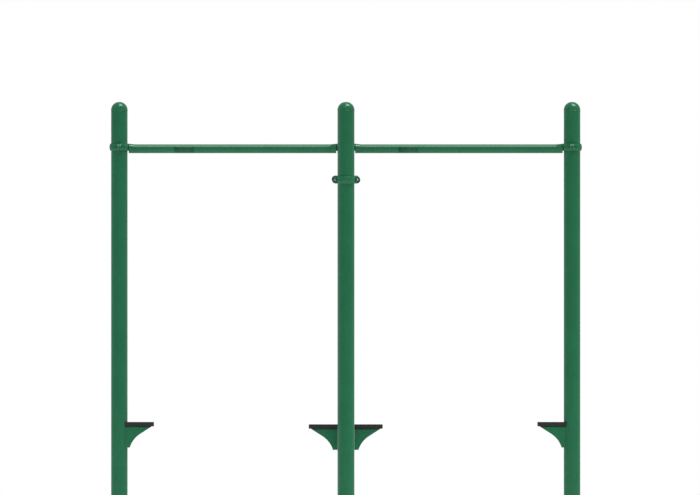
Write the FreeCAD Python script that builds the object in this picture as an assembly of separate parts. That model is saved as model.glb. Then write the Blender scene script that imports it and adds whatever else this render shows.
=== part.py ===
import FreeCAD, Part
import math
import os

# Outdoor pull-up station: four posts set out as a T carry three bars, with a foot step at each bar end.
# Millimetres, +Z up, ground at Z = 0, origin on the ground under the middle of the outline.
# The side bars run along X through the hub post. The front bar runs along Y from the front post to the hub.

V = FreeCAD.Vector
UP = V(0, 0, 1)
DOWN = V(0, 0, -1)
ORIGIN = V(0, 0, 0)
RIGHT = V(1, 0, 0)
LEFT = V(-1, 0, 0)
BACK = V(0, 1, 0)
FRONT = V(0, -1, 0)

# Setting out
BAY = 1219.2                # post axis to post axis along each bar
SIDE_BAR_HEIGHT = 2134.0    # ground to the axis of the left and right bars
FRONT_BAR_DROP = 172.0      # front bar axis below the side bars' axis
POST_ABOVE_BAR = 204.0      # side bar axis up to the rim of the post tubes
STEP_HEIGHT = 662.0         # ground to the top of the treads on the outer posts
HUB_STEP_DROP = 12.7        # the hub's treads lie this much lower

# Posts, bars and base plates
POST_DIAMETER = 88.9
POST_WALL = 3.2
BAR_DIAMETER = 48.3
BAR_WALL = 3.2
BASE_SIZE = 200.0
BASE_THICKNESS = 12.0
BASE_CORNER = 20.0
ANCHOR_HOLE = 18.0
ANCHOR_EDGE = 25.0          # anchor hole centre in from the plate's edges

# Dome caps
CAP_LIP = 0.3               # the dome stands this much proud of the post
CAP_BEAD = 1.2              # the bead round its foot stands this much proud of the post
CAP_BEAD_HEIGHT = 5.0
CAP_BEAD_ROUNDING = 2.0
CAP_RIM = 4.2               # straight rim below the dome
CAP_SKIRT_DEPTH = 32.0
CAP_SKIRT_WALL = 3.5
RIVET_DIAMETER = 4.8
RIVET_HEAD = 9.6
RIVET_HEAD_EDGE = 0.4
RIVET_HEAD_RISE = 1.2
RIVET_TAIL = 3.0
RIVET_BELOW_RIM = 16.0

# Split clamps that hold the bars
CLAMP_HEIGHT = 39.0
CLAMP_CROWN = 9.0           # wall at mid height
CLAMP_EDGE = 4.0            # wall at the top and bottom edges
CLAMP_RISE = 8.4            # clamp mid height above its bar's axis
CLAMP_GAP = 1.5             # slit left between the two halves
EAR_THICKNESS = 11.5
EAR_REACH = 31.2            # ear end out from the post's surface
EAR_ROUNDING = 2.0
BOLT_STAND_OFF = 15.6       # bolt axis out from the post's surface
BOLT_DIAMETER = 10.0
BOLT_HEAD = 16.0
BOLT_HEAD_HEIGHT = 5.5
BOLT_KEY = 6.0              # across the flats of the key socket
BOLT_KEY_DEPTH = 3.0
RECESS_DIAMETER = 26.0      # round pocket that hides the bolt head and the nut
RECESS_DEPTH = 5.5
NUT_FLATS = 16.0
NUT_HEIGHT = 5.0

# Bar sockets cast on the clamp halves
NECK_WIDTH = 34.0
NECK_ROUNDING = 5.0
COLLAR_START = 6.0          # collar's back face out from the post's surface
COLLAR_LENGTH = 31.5
COLLAR_ROUNDING = 2.0
SPIGOT_LENGTH = 55.0
SPIGOT_WALL = 8.0
SET_SCREW_DIAMETER = 8.0
SET_SCREW_LENGTH = 10.0
SET_SCREW_SUNK = 0.6        # screw end below the bar's surface
SET_SCREW_KEY = 4.0
SET_SCREW_KEY_DEPTH = 3.5
SET_SCREW_INSET = 28.0      # screw axis in from the collar's face

# Foot steps
STEP_REACH = 142.0          # tread end out from the surface that carries it
TREAD_WIDTH = 70.0
TREAD_THICKNESS = 22.9
TREAD_ROUNDING = 2.5
TREAD_BOLT_INSET = 42.0     # bolt axes in from the two ends of the tread's clear length
GROOVE_WIDTH = 3.0
GROOVE_DEPTH = 1.5
GROOVE_PITCH = 8.0
GROOVE_FROM_MIDDLE = 13.0   # the flat strip along the middle takes the bolt heads
GROOVE_EDGE = 8.0           # least distance from a groove to the tread's edge
BRACKET_WIDTH = 62.0
BRACKET_SHEET = 5.0
BRACKET_BEND = 6.0          # outer radius of the fold between top and cheeks
CHEEK_DEPTH = 137.0         # tread top to the foot of the cheeks
CHEEK_TIP_INSET = 13.5      # cheek tip in from the tread's end
CHEEK_TIP_HEIGHT = 1.5
CHEEK_SLOPE = 32.8          # degrees below level along the straight run
CHEEK_STRAIGHT = 61.0       # level length of the straight run
CHEEK_FOOT = 12.0           # foot of the cheek out from the carrying surface
TREAD_BOLT_DIAMETER = 8.0
TREAD_BOLT_HEAD = 15.0
TREAD_BOLT_CONE = 4.0
TREAD_BOLT_SUNK = 1.0
TREAD_BOLT_KEY = 5.0
TREAD_BOLT_KEY_DEPTH = 2.5
TREAD_NUT_FLATS = 13.0
TREAD_NUT_HEIGHT = 6.5
THREAD_END = 2.0            # bolt end past its nut

# Sleeve that carries the hub's three steps
SLEEVE_WALL = 12.6
HUB_TREAD_PART = 6.0        # clear gap kept between the corners of neighbouring hub treads
SLEEVE_BOLT_DIAMETER = 10.0
SLEEVE_BOLT_END_GAP = 26.0  # bolt axes in from the sleeve's ends

# Welds
FOOT_WELD = 6.0             # radius of the bead round the foot of a post
STEP_WELD = 3.5             # radius of the beads along the cheeks of a step
STEP_WELD_END_GAP = 4.0     # lower end of those beads above the foot of the cheeks

# Clearances
BAR_END_GAP = 0.2
CAP_CLEARANCE = 0.25
SPIGOT_CLEARANCE = 0.25
CLAMP_CLEARANCE = 0.1
SLEEVE_CLEARANCE = 0.1
WELD_CLEARANCE = 0.1
TREAD_CLEARANCE = 0.5
HOLE_CLEARANCE = 0.5        # on the radius of bolt holes
SCREW_CLEARANCE = 0.1       # on the radius of threaded and riveted holes
HEAD_CLEARANCE = 0.05       # under a flat head on a round surface

# Worked out from the sizes above
POST_RADIUS = POST_DIAMETER / 2
POST_BORE = POST_RADIUS - POST_WALL
POST_TOP = SIDE_BAR_HEIGHT + POST_ABOVE_BAR
BAR_RADIUS = BAR_DIAMETER / 2
BAR_BORE = BAR_RADIUS - BAR_WALL
COLLAR_BACK = POST_RADIUS + COLLAR_START
COLLAR_FACE = COLLAR_BACK + COLLAR_LENGTH
SPIGOT_RADIUS = BAR_BORE - SPIGOT_CLEARANCE
SET_SCREW_AT = COLLAR_FACE + SET_SCREW_INSET
CLAMP_BORE = POST_RADIUS + CLAMP_CLEARANCE
BOLT_OFFSET = POST_RADIUS + BOLT_STAND_OFF
EAR_FACE = CLAMP_GAP / 2 + EAR_THICKNESS
SEAT_FACE = EAR_FACE - RECESS_DEPTH
SLEEVE_BORE = POST_RADIUS + SLEEVE_CLEARANCE
SLEEVE_RADIUS = POST_RADIUS + SLEEVE_WALL
BRACKET_TOP = -TREAD_THICKNESS
HUB_STEP_HEIGHT = STEP_HEIGHT - HUB_STEP_DROP
SLEEVE_TOP = HUB_STEP_HEIGHT + BRACKET_TOP
SLEEVE_HEIGHT = CHEEK_DEPTH - TREAD_THICKNESS
ANCHOR_SPACING = BASE_SIZE - 2 * ANCHOR_EDGE
HUB_Y = BAY / 2

# Post name to its place on the ground
POSTS = {
    "left": (-BAY, HUB_Y),
    "right": (BAY, HUB_Y),
    "hub": (0.0, HUB_Y),
    "front": (0.0, HUB_Y - BAY),
}

SIDE = SIDE_BAR_HEIGHT
LOW = SIDE_BAR_HEIGHT - FRONT_BAR_DROP

# Clamp half name to its post, bar height, the way it faces, and whether it holds a bar
CLAMP_HALVES = {
    "left_clamp_bar_half": ("left", SIDE, RIGHT, True),
    "left_clamp_outer_half": ("left", SIDE, LEFT, False),
    "right_clamp_bar_half": ("right", SIDE, LEFT, True),
    "right_clamp_outer_half": ("right", SIDE, RIGHT, False),
    "hub_clamp_left_half": ("hub", SIDE, LEFT, True),
    "hub_clamp_right_half": ("hub", SIDE, RIGHT, True),
    "front_clamp_bar_half": ("front", LOW, BACK, True),
    "front_clamp_outer_half": ("front", LOW, FRONT, False),
    "hub_low_clamp_bar_half": ("hub", LOW, FRONT, True),
    "hub_low_clamp_outer_half": ("hub", LOW, BACK, False),
}

# Bolts enter through these halves, and their nuts sit in the opposite ones
BOLT_HEAD_HALVES = (
    "left_clamp_outer_half",
    "right_clamp_outer_half",
    "hub_clamp_left_half",
    "front_clamp_outer_half",
    "hub_low_clamp_outer_half",
)

# Bar name to the post it starts at, its axis height and its direction
BARS = {
    "pull_up_bar_left": ("left", SIDE, RIGHT),
    "pull_up_bar_right": ("hub", SIDE, RIGHT),
    "pull_up_bar_front": ("front", LOW, BACK),
}

# Step name to its post, the way it faces, and whether the hub's sleeve carries it
STEPS = {
    "left": ("left", RIGHT, False),
    "right": ("right", LEFT, False),
    "front": ("front", BACK, False),
    "hub_left": ("hub", LEFT, True),
    "hub_right": ("hub", RIGHT, True),
    "hub_front": ("hub", FRONT, True),
}


def cylinder(radius, length, start=ORIGIN, direction=UP):
    return Part.makeCylinder(radius, length, start, direction)


def tube(outer, inner, length):
    return cylinder(outer, length).cut(cylinder(inner, length))


def box(x_low, x_high, y_low, y_high, z_low, z_high):
    return Part.makeBox(x_high - x_low, y_high - y_low, z_high - z_low, V(x_low, y_low, z_low))


def hexagon(flats, height, start, direction):
    """Hexagonal prism from start along direction."""
    corner = flats / math.sqrt(3)
    turns = [math.radians(60 * side) for side in range(7)]
    points = [V(corner * math.cos(turn), corner * math.sin(turn), 0) for turn in turns]
    prism = Part.Face(Part.makePolygon(points)).extrude(V(0, 0, height))
    prism.Placement = FreeCAD.Placement(start, FreeCAD.Rotation(UP, direction))
    return prism


def spun(edges, angle=360):
    """Solid of revolution about Z of a closed outline in the XZ plane."""
    return Part.Face(Part.Wire(edges)).revolve(ORIGIN, UP, angle)


def domed(radius, rim, rise):
    """Round disc of height rim on Z = 0, with a spherical top that rises above it."""
    sphere = (radius ** 2 + rise ** 2) / (2 * rise)
    half_turn = math.asin(radius / sphere) / 2
    middle = V(sphere * math.sin(half_turn), 0, rim + rise - sphere * (1 - math.cos(half_turn)))
    edge = V(radius, 0, rim)
    top = V(0, 0, rim + rise)
    corner = V(radius, 0, 0)
    return spun([
        Part.makeLine(ORIGIN, corner),
        Part.makeLine(corner, edge),
        Part.Arc(edge, middle, top).toShape(),
        Part.makeLine(top, ORIGIN),
    ])


def placed(shape, place, height, facing=RIGHT):
    """Copy of shape turned about Z from +X to the way it faces, set at a place on the ground and a height."""
    copy = shape.copy()
    turn = math.degrees(math.atan2(facing.y, facing.x))
    copy.Placement = FreeCAD.Placement(
        V(place[0], place[1], height), FreeCAD.Rotation(UP, turn)
    ).multiply(copy.Placement)
    return copy


def rounded(shape, radius, chosen):
    """Fillets the edges of shape that the chosen test accepts."""
    return shape.makeFillet(radius, [edge for edge in shape.Edges if chosen(edge)])


def near(value, target):
    return abs(value - target) < 1e-6


def button_bolt(diameter, head, head_height, key, key_depth, length):
    """Round-headed bolt along +Z, with the head's seat at Z = 0 and the shank above it."""
    shoulder = head_height / 4
    outline = [
        Part.makeLine(V(0, 0, -head_height), V(head / 4, 0, -head_height)),
        Part.Arc(
            V(head / 4, 0, -head_height),
            V(head * 0.4, 0, -head_height * 0.75),
            V(head / 2, 0, -shoulder),
        ).toShape(),
        Part.makeLine(V(head / 2, 0, -shoulder), V(head / 2, 0, 0)),
        Part.makeLine(V(head / 2, 0, 0), ORIGIN),
        Part.makeLine(ORIGIN, V(0, 0, -head_height)),
    ]
    bolt = spun(outline).fuse(cylinder(diameter / 2, length)).removeSplitter()
    return bolt.cut(hexagon(key, key_depth, V(0, 0, -head_height), UP))


def post(name):
    """Post tube with its rivet hole, and on the hub the holes for the sleeve's bolts."""
    shape = tube(POST_RADIUS, POST_BORE, POST_TOP - BASE_THICKNESS)
    shape.translate(V(0, 0, BASE_THICKNESS))
    shape = shape.cut(rivet_hole(POST_TOP))
    if name == "hub":
        for height in sleeve_bolt_heights():
            hole = SLEEVE_BOLT_DIAMETER / 2 + SCREW_CLEARANCE
            shape = shape.cut(cylinder(hole, POST_DIAMETER, V(0, 0, height), BACK))
    return shape


def rivet_hole(rim):
    """Radial hole on the back of a post or cap whose rim lies at the given height."""
    radius = RIVET_DIAMETER / 2 + SCREW_CLEARANCE
    return cylinder(radius, POST_DIAMETER, V(0, 0, rim - RIVET_BELOW_RIM), BACK)


def base_plate():
    half = BASE_SIZE / 2
    plate = box(-half, half, -half, half, 0, BASE_THICKNESS)
    plate = rounded(plate, BASE_CORNER, lambda edge: near(edge.Length, BASE_THICKNESS))
    reach = ANCHOR_SPACING / 2
    for x in (-reach, reach):
        for y in (-reach, reach):
            plate = plate.cut(cylinder(ANCHOR_HOLE / 2, BASE_THICKNESS, V(x, y, 0)))
    return plate


def foot_weld():
    """Weld bead in the corner between a post and the top of its base plate."""
    bulge = FOOT_WELD / math.sqrt(2)
    root = V(POST_RADIUS, 0, BASE_THICKNESS)
    toe = root + V(FOOT_WELD, 0, 0)
    top = root + V(0, 0, FOOT_WELD)
    return spun([
        Part.makeLine(root, toe),
        Part.Arc(toe, root + V(bulge, 0, bulge), top).toShape(),
        Part.makeLine(top, root),
    ])


def post_cap():
    """Dome cap with a bead round its foot and a skirt inside the post, whose rim is at Z = 0."""
    dome = POST_RADIUS + CAP_LIP
    skirt = POST_BORE - CAP_CLEARANCE
    hollow = skirt - CAP_SKIRT_WALL
    bead = cylinder(POST_RADIUS + CAP_BEAD, CAP_BEAD_HEIGHT)
    bead = rounded(bead, CAP_BEAD_ROUNDING, lambda edge: len(edge.Vertexes) == 1)
    inside = cylinder(skirt, CAP_SKIRT_DEPTH, V(0, 0, -CAP_SKIRT_DEPTH))
    cap = domed(dome, CAP_RIM, dome).multiFuse([bead, inside]).removeSplitter()
    cap = cap.cut(cylinder(hollow, CAP_SKIRT_DEPTH + CAP_RIM, V(0, 0, -CAP_SKIRT_DEPTH)))
    cap = cap.cut(Part.makeSphere(hollow, V(0, 0, CAP_RIM)))
    return cap.cut(rivet_hole(0))


def cap_rivet():
    """Blind rivet on the back of the post, measured from the post's rim."""
    seat = POST_RADIUS + HEAD_CLEARANCE
    tail = POST_BORE - CAP_CLEARANCE - CAP_SKIRT_WALL - RIVET_TAIL
    head = domed(RIVET_HEAD / 2, RIVET_HEAD_EDGE, RIVET_HEAD_RISE)
    rivet = head.fuse(cylinder(RIVET_DIAMETER / 2, seat - tail, V(0, 0, tail - seat))).removeSplitter()
    rivet.Placement = FreeCAD.Placement(
        V(0, seat, -RIVET_BELOW_RIM), FreeCAD.Rotation(UP, BACK)
    )
    return rivet


def clamp_band():
    """Crowned half ring round the post on its +X side."""
    half = CLAMP_HEIGHT / 2
    edge = CLAMP_BORE + CLAMP_EDGE
    crown = CLAMP_BORE + CLAMP_CROWN
    band = spun([
        Part.makeLine(V(CLAMP_BORE, 0, -half), V(edge, 0, -half)),
        Part.Arc(V(edge, 0, -half), V(crown, 0, 0), V(edge, 0, half)).toShape(),
        Part.makeLine(V(edge, 0, half), V(CLAMP_BORE, 0, half)),
        Part.makeLine(V(CLAMP_BORE, 0, half), V(CLAMP_BORE, 0, -half)),
    ], 180)
    band.rotate(ORIGIN, UP, -90)
    return band


def clamp_ear():
    """Round-ended bolt ear on the +Y side of the post."""
    half = CLAMP_HEIGHT / 2
    root = CLAMP_BORE + CLAMP_EDGE / 2
    end = POST_RADIUS + EAR_REACH
    turn = end - half
    outline = Part.Wire([
        Part.makeLine(V(0, root, -half), V(0, turn, -half)),
        Part.Arc(V(0, turn, -half), V(0, end, 0), V(0, turn, half)).toShape(),
        Part.makeLine(V(0, turn, half), V(0, root, half)),
        Part.makeLine(V(0, root, half), V(0, root, -half)),
    ])
    ear = Part.Face(outline).extrude(V(EAR_FACE, 0, 0))

    def outer_rim(edge):
        on_face = all(near(point.Point.x, EAR_FACE) for point in edge.Vertexes)
        at_root = all(near(point.Point.y, root) for point in edge.Vertexes)
        return on_face and not at_root

    return rounded(ear, EAR_ROUNDING, outer_rim)


def bar_socket():
    """Neck, collar and spigot that carry the end of a bar along +X, with the clamp's middle at Z = 0.

    The collar's top slopes from the clamp's top down to the bar's, and its underside is level with the bar's.
    """
    half = CLAMP_HEIGHT / 2
    axis = -CLAMP_RISE
    flare = (half - axis - BAR_RADIUS) / 2
    neck = box(CLAMP_BORE, COLLAR_BACK, -NECK_WIDTH / 2, NECK_WIDTH / 2, -half, half)
    length = COLLAR_BACK - CLAMP_BORE
    neck = rounded(neck, NECK_ROUNDING, lambda edge: near(edge.Length, length))
    neck = neck.common(cylinder(BAR_RADIUS + CLAMP_RISE, length, V(CLAMP_BORE, 0, axis), RIGHT))
    back = Part.makeCircle(BAR_RADIUS + flare, V(COLLAR_BACK, 0, axis + flare), RIGHT)
    face = Part.makeCircle(BAR_RADIUS, V(COLLAR_FACE, 0, axis), RIGHT)
    collar = Part.makeLoft([Part.Wire(back), Part.Wire(face)], True, True)

    def back_edge(edge):
        return all(near(point.Point.x, COLLAR_BACK) for point in edge.Vertexes)

    collar = rounded(collar, COLLAR_ROUNDING, back_edge)
    spigot = cylinder(SPIGOT_RADIUS, SPIGOT_LENGTH, V(COLLAR_FACE, 0, axis), RIGHT)
    hollow = cylinder(SPIGOT_RADIUS - SPIGOT_WALL, SPIGOT_LENGTH, V(COLLAR_FACE, 0, axis), RIGHT)
    return neck.multiFuse([collar, spigot.cut(hollow)])


def screw_hole_under_bar(distance, axis):
    """Hole for a set screw through the underside of a bar along +X at this distance and axis height."""
    radius = SET_SCREW_DIAMETER / 2 + SCREW_CLEARANCE
    return cylinder(radius, BAR_DIAMETER, V(distance, 0, axis), DOWN)


def clamp_half(holds_bar):
    """One half of a split clamp, facing +X, with the clamp's middle at Z = 0."""
    ear = clamp_ear()
    pieces = [ear, ear.mirror(ORIGIN, BACK)]
    if holds_bar:
        pieces.append(bar_socket())
    half = clamp_band().multiFuse(pieces).removeSplitter()
    half = half.cut(cylinder(CLAMP_BORE, CLAMP_HEIGHT, V(0, 0, -CLAMP_HEIGHT / 2)))
    reach = POST_RADIUS + EAR_REACH
    half = half.cut(box(-CLAMP_GAP, CLAMP_GAP / 2, -reach, reach, -CLAMP_HEIGHT, CLAMP_HEIGHT))
    for y in (-BOLT_OFFSET, BOLT_OFFSET):
        hole = cylinder(BOLT_DIAMETER / 2 + HOLE_CLEARANCE, EAR_FACE, V(0, y, 0), RIGHT)
        recess = cylinder(RECESS_DIAMETER / 2, POST_DIAMETER, V(SEAT_FACE, y, 0), RIGHT)
        half = half.cut(hole).cut(recess)
    if holds_bar:
        half = half.cut(screw_hole_under_bar(SET_SCREW_AT, -CLAMP_RISE))
    return half


def clamp_bolt(side):
    """Bolt through both ears on one side, with its head in the half that faces +X."""
    length = 2 * SEAT_FACE + NUT_HEIGHT
    bolt = button_bolt(BOLT_DIAMETER, BOLT_HEAD, BOLT_HEAD_HEIGHT, BOLT_KEY, BOLT_KEY_DEPTH, length)
    bolt.Placement = FreeCAD.Placement(
        V(SEAT_FACE, side * BOLT_OFFSET, 0), FreeCAD.Rotation(UP, LEFT)
    )
    return bolt


def clamp_nut(side):
    """Nut in the half that faces -X, threaded on its bolt."""
    start = V(-SEAT_FACE, side * BOLT_OFFSET, 0)
    nut = hexagon(NUT_FLATS, NUT_HEIGHT, start, LEFT)
    return nut.cut(cylinder(BOLT_DIAMETER / 2 + SCREW_CLEARANCE, NUT_HEIGHT, start, LEFT))


def bar():
    """Bar tube along +X from one collar to the other, measured from the first post's axis."""
    start = COLLAR_FACE + BAR_END_GAP
    length = BAY - 2 * start
    shape = cylinder(BAR_RADIUS, length, V(start, 0, 0), RIGHT)
    shape = shape.cut(cylinder(BAR_BORE, length, V(start, 0, 0), RIGHT))
    for distance in (SET_SCREW_AT, BAY - SET_SCREW_AT):
        shape = shape.cut(screw_hole_under_bar(distance, 0))
    return shape


def set_screw():
    """Set screw in the underside of a bar end, measured from the post's axis and the bar's axis."""
    start = V(SET_SCREW_AT, 0, SET_SCREW_SUNK - BAR_RADIUS)
    screw = cylinder(SET_SCREW_DIAMETER / 2, SET_SCREW_LENGTH, start)
    return screw.cut(hexagon(SET_SCREW_KEY, SET_SCREW_KEY_DEPTH, start, UP))


def hub_step_sleeve():
    """Sleeve round the hub post, with its lower end at Z = 0 and bolt holes at the back."""
    sleeve = tube(SLEEVE_RADIUS, SLEEVE_BORE, SLEEVE_HEIGHT)
    hole = SLEEVE_BOLT_DIAMETER / 2 + SCREW_CLEARANCE
    for height in (SLEEVE_BOLT_END_GAP, SLEEVE_HEIGHT - SLEEVE_BOLT_END_GAP):
        sleeve = sleeve.cut(cylinder(hole, SLEEVE_RADIUS, V(0, 0, height), BACK))
    return sleeve


def sleeve_bolt_heights():
    foot = SLEEVE_TOP - SLEEVE_HEIGHT
    return (foot + SLEEVE_BOLT_END_GAP, SLEEVE_TOP - SLEEVE_BOLT_END_GAP)


def sleeve_bolt():
    """Bolt from the back of the sleeve into the post, measured from the post's axis."""
    seat = SLEEVE_RADIUS + HEAD_CLEARANCE
    bolt = button_bolt(
        SLEEVE_BOLT_DIAMETER, BOLT_HEAD, BOLT_HEAD_HEIGHT, BOLT_KEY, BOLT_KEY_DEPTH,
        seat - POST_BORE + THREAD_END,
    )
    bolt.Placement = FreeCAD.Placement(V(0, seat, 0), FreeCAD.Rotation(UP, FRONT))
    return bolt


def hub_wedge(reach):
    """Space that a hub step may fill: the quarter it faces, kept apart from its neighbours."""
    inset = HUB_TREAD_PART / math.sqrt(2)
    points = [V(inset, 0, -CHEEK_DEPTH), V(reach, reach - inset, -CHEEK_DEPTH)]
    points += [V(reach, inset - reach, -CHEEK_DEPTH), points[0]]
    return Part.Face(Part.makePolygon(points)).extrude(V(0, 0, CHEEK_DEPTH))


def coped(shape, radius, on_hub):
    """Copes the inner end of a step piece round a post or sleeve of this radius."""
    shape = shape.cut(cylinder(radius, CHEEK_DEPTH, V(0, 0, -CHEEK_DEPTH)))
    if on_hub:
        shape = shape.common(hub_wedge(SLEEVE_RADIUS + STEP_REACH))
    return shape


def tread_bolt_places(carrier):
    return (carrier + TREAD_BOLT_INSET, carrier + STEP_REACH - TREAD_BOLT_INSET)


def step_tread(carrier, on_hub):
    """Grooved tread along +X with its top at Z = 0, carried by a round surface of this radius."""
    half = TREAD_WIDTH / 2
    end = carrier + STEP_REACH
    tread = box(0, end, -half, half, -TREAD_THICKNESS, 0)

    def outer_rim(edge):
        return not any(near(point.Point.x, 0) for point in edge.Vertexes)

    tread = rounded(tread, TREAD_ROUNDING, outer_rim)
    grooves = int((half - GROOVE_EDGE - GROOVE_FROM_MIDDLE) // GROOVE_PITCH) + 1
    for count in range(grooves):
        middle = GROOVE_FROM_MIDDLE + count * GROOVE_PITCH
        for y in (-middle, middle):
            low = y - GROOVE_WIDTH / 2
            tread = tread.cut(box(0, end, low, low + GROOVE_WIDTH, -GROOVE_DEPTH, 0))
    for x in tread_bolt_places(carrier):
        head = TREAD_BOLT_HEAD / 2 + HOLE_CLEARANCE
        shank = TREAD_BOLT_DIAMETER / 2 + HOLE_CLEARANCE
        sunk = TREAD_BOLT_SUNK
        tread = tread.cut(cylinder(head, sunk, V(x, 0, -sunk)))
        tread = tread.cut(Part.makeCone(shank, head, TREAD_BOLT_CONE, V(x, 0, -sunk - TREAD_BOLT_CONE)))
        tread = tread.cut(cylinder(shank, TREAD_THICKNESS, V(x, 0, -TREAD_THICKNESS)))
    return coped(tread, POST_RADIUS + TREAD_CLEARANCE, on_hub)


def cheek_outline(carrier):
    """Side view of a step bracket, with a straight run from the tip and a tangent arc down to the foot."""
    slope = math.radians(CHEEK_SLOPE)
    tip = V(carrier + STEP_REACH - CHEEK_TIP_INSET, 0, BRACKET_TOP)
    nose = tip - V(0, 0, CHEEK_TIP_HEIGHT)
    bend = nose - V(CHEEK_STRAIGHT, 0, CHEEK_STRAIGHT * math.tan(slope))
    foot = V(carrier + CHEEK_FOOT, 0, -CHEEK_DEPTH)
    away = V(math.sin(slope), 0, -math.cos(slope))
    chord = bend - foot
    radius = -chord.dot(chord) / (2 * away.dot(chord))
    centre = bend + away * radius
    middle = (bend + foot) * 0.5 - centre
    middle = centre + middle * (radius / middle.Length)
    heel = V(0, 0, -CHEEK_DEPTH)
    root = V(0, 0, BRACKET_TOP)
    return Part.Wire([
        Part.makeLine(root, tip),
        Part.makeLine(tip, nose),
        Part.makeLine(nose, bend),
        Part.Arc(bend, middle, foot).toShape(),
        Part.makeLine(foot, heel),
        Part.makeLine(heel, root),
    ])


def step_bracket(carrier, on_hub):
    """Folded bracket with a top plate and two cheeks, coped to a round surface of this radius."""
    half = BRACKET_WIDTH / 2
    side = Part.Face(cheek_outline(carrier))
    bracket = side.extrude(V(0, BRACKET_WIDTH, 0))
    bracket.translate(V(0, -half, 0))

    def fold(edge):
        on_top = all(near(point.Point.z, BRACKET_TOP) for point in edge.Vertexes)
        along = all(near(abs(point.Point.y), half) for point in edge.Vertexes)
        return on_top and along and edge.Length > BRACKET_WIDTH

    bracket = rounded(bracket, BRACKET_BEND, fold)
    inner = half - BRACKET_SHEET
    under = BRACKET_TOP - BRACKET_SHEET
    bracket = bracket.cut(box(0, carrier + STEP_REACH, -inner, inner, -CHEEK_DEPTH, under))
    for x in tread_bolt_places(carrier):
        hole = TREAD_BOLT_DIAMETER / 2 + HOLE_CLEARANCE
        bracket = bracket.cut(cylinder(hole, 2 * BRACKET_SHEET, V(x, 0, under - BRACKET_SHEET)))
    return coped(bracket, carrier + WELD_CLEARANCE, on_hub)


def step_welds(carrier):
    """Weld beads along both cheeks of a bracket, in the corners with a round surface of this radius."""
    half = BRACKET_WIDTH / 2
    foot = STEP_WELD_END_GAP - CHEEK_DEPTH
    length = BRACKET_TOP - BRACKET_BEND - foot
    corner = V(math.sqrt(carrier ** 2 - half ** 2), half, foot)
    bead = cylinder(STEP_WELD, length, corner)
    bead = bead.cut(cylinder(carrier, length, V(0, 0, foot)))
    bead = bead.cut(box(0, carrier + STEP_WELD, 0, half, foot, foot + length))
    return Part.makeCompound([bead, bead.mirror(ORIGIN, BACK)])


def tread_bolt():
    """Countersunk bolt down through tread and bracket, measured from the tread's top."""
    end = BRACKET_TOP - BRACKET_SHEET - TREAD_NUT_HEIGHT - THREAD_END
    top = -TREAD_BOLT_SUNK
    cone = Part.makeCone(
        TREAD_BOLT_DIAMETER / 2, TREAD_BOLT_HEAD / 2, TREAD_BOLT_CONE, V(0, 0, top - TREAD_BOLT_CONE)
    )
    shank = cylinder(TREAD_BOLT_DIAMETER / 2, top - TREAD_BOLT_CONE - end, V(0, 0, end))
    bolt = cone.fuse(shank).removeSplitter()
    return bolt.cut(hexagon(TREAD_BOLT_KEY, TREAD_BOLT_KEY_DEPTH, V(0, 0, top), DOWN))


def tread_nut():
    """Nut under the bracket's top plate, measured from the tread's top."""
    start = V(0, 0, BRACKET_TOP - BRACKET_SHEET)
    nut = hexagon(TREAD_NUT_FLATS, TREAD_NUT_HEIGHT, start, DOWN)
    bore = TREAD_BOLT_DIAMETER / 2 + SCREW_CLEARANCE
    return nut.cut(cylinder(bore, TREAD_NUT_HEIGHT, start, DOWN))


def post_pieces():
    """Posts with their base plates, welds, caps and cap rivets."""
    pieces = {}
    rivets = []
    for name, place in POSTS.items():
        pieces["post_" + name] = placed(post(name), place, 0)
        pieces["base_plate_" + name] = placed(base_plate(), place, 0)
        pieces["foot_weld_" + name] = placed(foot_weld(), place, 0)
        pieces["post_cap_" + name] = placed(post_cap(), place, POST_TOP)
        rivets.append(placed(cap_rivet(), place, POST_TOP))
    pieces["cap_rivets"] = Part.makeCompound(rivets)
    return pieces


def bar_pieces():
    """Bars with the set screws that lock their ends."""
    pieces = {}
    screws = []
    for name, (start, height, facing) in BARS.items():
        pieces[name] = placed(bar(), POSTS[start], height, facing)
    for start, height, facing, holds_bar in CLAMP_HALVES.values():
        if holds_bar:
            screws.append(placed(set_screw(), POSTS[start], height, facing))
    pieces["bar_set_screws"] = Part.makeCompound(screws)
    return pieces


def clamp_pieces():
    """Clamp halves with their bolts and nuts."""
    pieces = {}
    bolts = []
    nuts = []
    for name, (place, height, facing, holds_bar) in CLAMP_HALVES.items():
        middle = height + CLAMP_RISE
        pieces[name] = placed(clamp_half(holds_bar), POSTS[place], middle, facing)
        if name in BOLT_HEAD_HALVES:
            for side in (-1, 1):
                bolts.append(placed(clamp_bolt(side), POSTS[place], middle, facing))
                nuts.append(placed(clamp_nut(side), POSTS[place], middle, facing))
    pieces["clamp_bolts"] = Part.makeCompound(bolts)
    pieces["clamp_nuts"] = Part.makeCompound(nuts)
    return pieces


def step_pieces():
    """Step brackets, their welds, treads and fasteners, with the hub's sleeve."""
    pieces = {}
    bolts = []
    nuts = []
    for name, (where, facing, on_hub) in STEPS.items():
        carrier = SLEEVE_RADIUS if on_hub else POST_RADIUS
        height = HUB_STEP_HEIGHT if on_hub else STEP_HEIGHT
        place = POSTS[where]
        pieces["step_bracket_" + name] = placed(step_bracket(carrier, on_hub), place, height, facing)
        pieces["step_welds_" + name] = placed(step_welds(carrier), place, height, facing)
        pieces["step_tread_" + name] = placed(step_tread(carrier, on_hub), place, height, facing)
        for x in tread_bolt_places(carrier):
            for fastener, group in ((tread_bolt(), bolts), (tread_nut(), nuts)):
                fastener.translate(V(x, 0, 0))
                group.append(placed(fastener, place, height, facing))
    pieces["tread_bolts"] = Part.makeCompound(bolts)
    pieces["tread_nuts"] = Part.makeCompound(nuts)
    pieces["hub_step_sleeve"] = placed(hub_step_sleeve(), POSTS["hub"], SLEEVE_TOP - SLEEVE_HEIGHT)
    pieces["sleeve_bolts"] = Part.makeCompound(
        [placed(sleeve_bolt(), POSTS["hub"], height) for height in sleeve_bolt_heights()]
    )
    return pieces


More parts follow.
